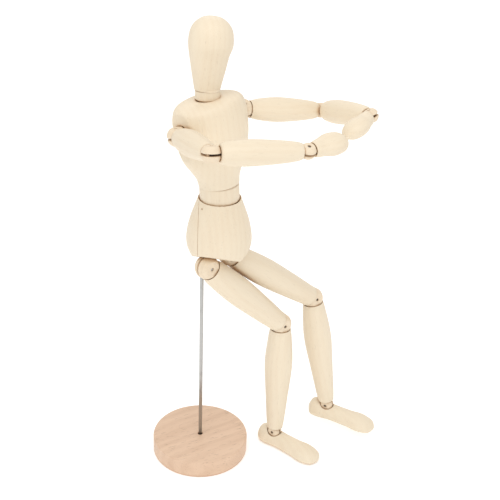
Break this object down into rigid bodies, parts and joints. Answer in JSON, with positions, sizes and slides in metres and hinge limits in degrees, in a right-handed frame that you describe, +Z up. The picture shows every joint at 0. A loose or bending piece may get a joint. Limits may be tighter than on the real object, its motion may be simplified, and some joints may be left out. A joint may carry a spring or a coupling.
{
  "type": "artist mannequin",
  "caption": "Jointed wooden lay figure on a steel rod and a round wooden base, with ball joints held by inner springs, posed seated with its arms held out.",
  "frame": {"origin": "centre of the base's flat underside, on the rod's axis", "axes": "+Z up along the rod; the figure faces about -Y, its left side is +X"},
  "size_m": [0.1399, 0.1087, 0.2864],
  "materials": {
    "figure_wood": "sanded bare lime wood",
    "ball_wood": "turned bare birch",
    "base_wood": "sanded beech with a thin clear seal",
    "steel": "bright drawn steel",
    "spring_steel": "oiled spring wire"
  },
  "bodies": {
    "stand": {"base_disc": "base_wood"},
    "rod": {"rod": "steel"},
    "pelvis": {"pelvis": "figure_wood"},
    "waist": {"waist": "figure_wood"},
    "chest": {"chest": "figure_wood"},
    "neck": {"neck": "figure_wood"},
    "head": {"head": "figure_wood"},
    "right_shoulder_ball": {"right_shoulder_ball": "ball_wood", "right_shoulder_pin": "steel", "right_shoulder_spring": "spring_steel"},
    "right_upper_arm": {"right_upper_arm": "figure_wood", "right_upper_arm_spring": "spring_steel"},
    "right_elbow_ball": {"right_elbow_ball": "ball_wood", "right_elbow_pin": "steel"},
    "right_forearm": {"right_forearm": "figure_wood", "right_forearm_spring": "spring_steel"},
    "right_wrist_ball": {"right_wrist_ball": "ball_wood", "right_wrist_pin": "steel"},
    "right_hand": {"right_hand": "figure_wood", "right_hand_spring": "spring_steel"},
    "right_hip_ball": {"right_hip_ball": "ball_wood", "right_hip_pin": "steel", "right_hip_spring": "spring_steel"},
    "right_thigh": {"right_thigh": "figure_wood", "right_thigh_spring": "spring_steel"},
    "right_knee_ball": {"right_knee_ball": "ball_wood", "right_knee_pin": "steel"},
    "right_calf": {"right_calf": "figure_wood", "right_calf_spring": "spring_steel"},
    "right_ankle_ball": {"right_ankle_ball": "ball_wood", "right_ankle_pin": "steel"},
    "right_foot": {"right_foot": "figure_wood", "right_foot_spring": "spring_steel"},
    "left_shoulder_ball": {"left_shoulder_ball": "ball_wood", "left_shoulder_pin": "steel", "left_shoulder_spring": "spring_steel"},
    "left_upper_arm": {"left_upper_arm": "figure_wood", "left_upper_arm_spring": "spring_steel"},
    "left_elbow_ball": {"left_elbow_ball": "ball_wood", "left_elbow_pin": "steel"},
    "left_forearm": {"left_forearm": "figure_wood", "left_forearm_spring": "spring_steel"},
    "left_wrist_ball": {"left_wrist_ball": "ball_wood", "left_wrist_pin": "steel"},
    "left_hand": {"left_hand": "figure_wood", "left_hand_spring": "spring_steel"},
    "left_hip_ball": {"left_hip_ball": "ball_wood", "left_hip_pin": "steel", "left_hip_spring": "spring_steel"},
    "left_thigh": {"left_thigh": "figure_wood", "left_thigh_spring": "spring_steel"},
    "left_knee_ball": {"left_knee_ball": "ball_wood", "left_knee_pin": "steel"},
    "left_calf": {"left_calf": "figure_wood", "left_calf_spring": "spring_steel"},
    "left_ankle_ball": {"left_ankle_ball": "ball_wood", "left_ankle_pin": "steel"},
    "left_foot": {"left_foot": "figure_wood", "left_foot_spring": "spring_steel"}
  },
  "joints": [
    {"name": "rod_turn", "type": "hinge", "parent": "stand", "child": "rod", "pos_m": [0, 0, 0.011], "axis": [0, 0, 1], "continuous": true},
    {"name": "figure_height", "type": "slide", "parent": "rod", "child": "pelvis", "axis": [0, 0, 1], "range_m": [0, 0.012]},
    {"name": "waist_tilt", "type": "hinge", "parent": "pelvis", "child": "waist", "pos_m": [0.00434, -0.01258, 0.19289], "axis": [-0.0857, 0.9949, -0.0523], "range_deg": [-12, 12]},
    {"name": "chest_bend", "type": "hinge", "parent": "waist", "child": "chest", "pos_m": [0.00458, -0.01297, 0.1851], "axis": [-0.9959, -0.0871, -0.0262], "range_deg": [-12, 12]},
    {"name": "neck_turn", "type": "hinge", "parent": "chest", "child": "neck", "pos_m": [-0.00126, -0.00796, 0.24296], "axis": [-0.1117, 0.0918, 0.9895], "range_deg": [-60, 60]},
    {"name": "head_nod", "type": "hinge", "parent": "neck", "child": "head", "pos_m": [-0.00126, -0.00805, 0.24167], "axis": [0.9658, 0.2588, -0.0175], "range_deg": [-15, 15]},
    {"name": "right_shoulder_swing", "type": "hinge", "parent": "chest", "child": "right_shoulder_ball", "pos_m": [-0.02226, -0.01658, 0.22724], "axis": [-0.9481, -0.3081, -0.0785], "range_deg": [-65, 90], "deforming": ["right_shoulder_spring"]},
    {"name": "right_upper_arm_raise", "type": "hinge", "parent": "right_shoulder_ball", "child": "right_upper_arm", "pos_m": [-0.02226, -0.01658, 0.22724], "axis": [-0.1492, 0.2133, 0.9655], "range_deg": [-70, 1], "deforming": ["right_upper_arm_spring"]},
    {"name": "right_elbow_twist", "type": "hinge", "parent": "right_upper_arm", "child": "right_elbow_ball", "pos_m": [-0.02482, -0.06542, 0.23763], "axis": [-0.0512, -0.9768, 0.2079], "range_deg": [-90, 90], "deforming": ["right_upper_arm_spring"]},
    {"name": "right_elbow_bend", "type": "hinge", "parent": "right_elbow_ball", "child": "right_forearm", "pos_m": [-0.02482, -0.06542, 0.23763], "axis": [0.0962, 0.2024, 0.9746], "range_deg": [-95, 9], "deforming": ["right_forearm_spring"]},
    {"name": "right_wrist_twist", "type": "hinge", "parent": "right_forearm", "child": "right_wrist_ball", "pos_m": [0.02433, -0.07408, 0.23458], "axis": [-0.983, 0.1733, 0.061], "range_deg": [-90, 90], "deforming": ["right_forearm_spring"]},
    {"name": "right_hand_bend", "type": "hinge", "parent": "right_wrist_ball", "child": "right_hand", "pos_m": [0.02433, -0.07408, 0.23458], "axis": [0.0103, -0.2796, 0.9601], "range_deg": [-60, 60], "deforming": ["right_hand_spring"]},
    {"name": "right_hip_swing", "type": "hinge", "parent": "pelvis", "child": "right_hip_ball", "pos_m": [-0.00475, -0.01756, 0.1447], "axis": [0.4357, 0.2125, 0.8746], "range_deg": [-60, 4], "deforming": ["right_hip_spring"]},
    {"name": "right_thigh_raise", "type": "hinge", "parent": "right_hip_ball", "child": "right_thigh", "pos_m": [-0.00475, -0.01756, 0.1447], "axis": [-0.2262, 0.9664, -0.1222], "range_deg": [-1, 4], "deforming": ["right_thigh_spring"]},
    {"name": "right_knee_twist", "type": "hinge", "parent": "right_thigh", "child": "right_knee_ball", "pos_m": [0.0483, -0.01208, 0.08986], "axis": [0.6935, 0.0717, -0.7169], "range_deg": [-90, 90], "deforming": ["right_thigh_spring"]},
    {"name": "right_knee_bend", "type": "hinge", "parent": "right_knee_ball", "child": "right_calf", "pos_m": [0.0483, -0.01208, 0.08986], "axis": [0.1429, -0.989, 0.0394], "range_deg": [-5, 15], "deforming": ["right_calf_spring"]},
    {"name": "right_ankle_twist", "type": "hinge", "parent": "right_calf", "child": "right_ankle_ball", "pos_m": [0.04602, -0.01559, 0.00997], "axis": [0.0285, 0.0439, 0.9986], "range_deg": [-60, 60], "deforming": ["right_calf_spring"]},
    {"name": "right_foot_bend", "type": "hinge", "parent": "right_ankle_ball", "child": "right_foot", "pos_m": [0.04602, -0.01559, 0.00997], "axis": [0.882, 0.469, -0.0458], "range_deg": [-20, 12], "deforming": ["right_foot_spring"]},
    {"name": "left_shoulder_swing", "type": "hinge", "parent": "chest", "child": "left_shoulder_ball", "pos_m": [0.02287, -0.00191, 0.23097], "axis": [-0.9481, -0.3081, -0.0785], "range_deg": [-90, 65], "deforming": ["left_shoulder_spring"]},
    {"name": "left_upper_arm_raise", "type": "hinge", "parent": "left_shoulder_ball", "child": "left_upper_arm", "pos_m": [0.02287, -0.00191, 0.23097], "axis": [-0.0823, 0.4761, -0.8755], "range_deg": [-70, 4], "deforming": ["left_upper_arm_spring"]},
    {"name": "left_elbow_twist", "type": "hinge", "parent": "left_upper_arm", "child": "left_elbow_ball", "pos_m": [0.07232, -0.00537, 0.22445], "axis": [0.989, -0.0692, -0.1305], "range_deg": [-90, 90], "deforming": ["left_upper_arm_spring"]},
    {"name": "left_elbow_bend", "type": "hinge", "parent": "left_elbow_ball", "child": "left_forearm", "pos_m": [0.07232, -0.00537, 0.22445], "axis": [-0.1449, -0.2834, -0.948], "range_deg": [-95, 5], "deforming": ["left_forearm_spring"]},
    {"name": "left_wrist_twist", "type": "hinge", "parent": "left_forearm", "child": "left_wrist_ball", "pos_m": [0.07316, -0.0533, 0.23865], "axis": [0.0167, -0.9587, 0.284], "range_deg": [-90, 90], "deforming": ["left_forearm_spring"]},
    {"name": "left_hand_bend", "type": "hinge", "parent": "left_wrist_ball", "child": "left_hand", "pos_m": [0.07316, -0.0533, 0.23865], "axis": [-0.3021, 0.2659, 0.9154], "range_deg": [-15, 60], "deforming": ["left_hand_spring"]},
    {"name": "left_hip_swing", "type": "hinge", "parent": "pelvis", "child": "left_hip_ball", "pos_m": [0.01395, -0.00844, 0.1447], "axis": [0.4357, 0.2125, -0.8746], "range_deg": [-60, 8], "deforming": ["left_hip_spring"]},
    {"name": "left_thigh_raise", "type": "hinge", "parent": "left_hip_ball", "child": "left_thigh", "pos_m": [0.01395, -0.00844, 0.1447], "axis": [0.1807, 0.9313, 0.3163], "range_deg": [-52, 4], "deforming": ["left_thigh_spring"]},
    {"name": "left_knee_twist", "type": "hinge", "parent": "left_thigh", "child": "left_knee_ball", "pos_m": [0.07442, -0.00432, 0.09802], "axis": [-0.7905, -0.0539, 0.6101], "range_deg": [-90, 90], "deforming": ["left_thigh_spring"]},
    {"name": "left_knee_bend", "type": "hinge", "parent": "left_knee_ball", "child": "left_calf", "pos_m": [0.07442, -0.00432, 0.09802], "axis": [-0.183, 0.9714, -0.1513], "range_deg": [-95, 15], "deforming": ["left_calf_spring"]},
    {"name": "left_ankle_twist", "type": "hinge", "parent": "left_calf", "child": "left_ankle_ball", "pos_m": [0.08473, -0.01463, 0.01936], "axis": [-0.1289, 0.1289, 0.9833], "range_deg": [-60, 60], "deforming": ["left_calf_spring"]},
    {"name": "left_foot_bend", "type": "hinge", "parent": "left_ankle_ball", "child": "left_foot", "pos_m": [0.08473, -0.01463, 0.01936], "axis": [-0.7436, -0.6686, -0.0098], "range_deg": [-4, 20], "deforming": ["left_foot_spring"]}
  ]
}
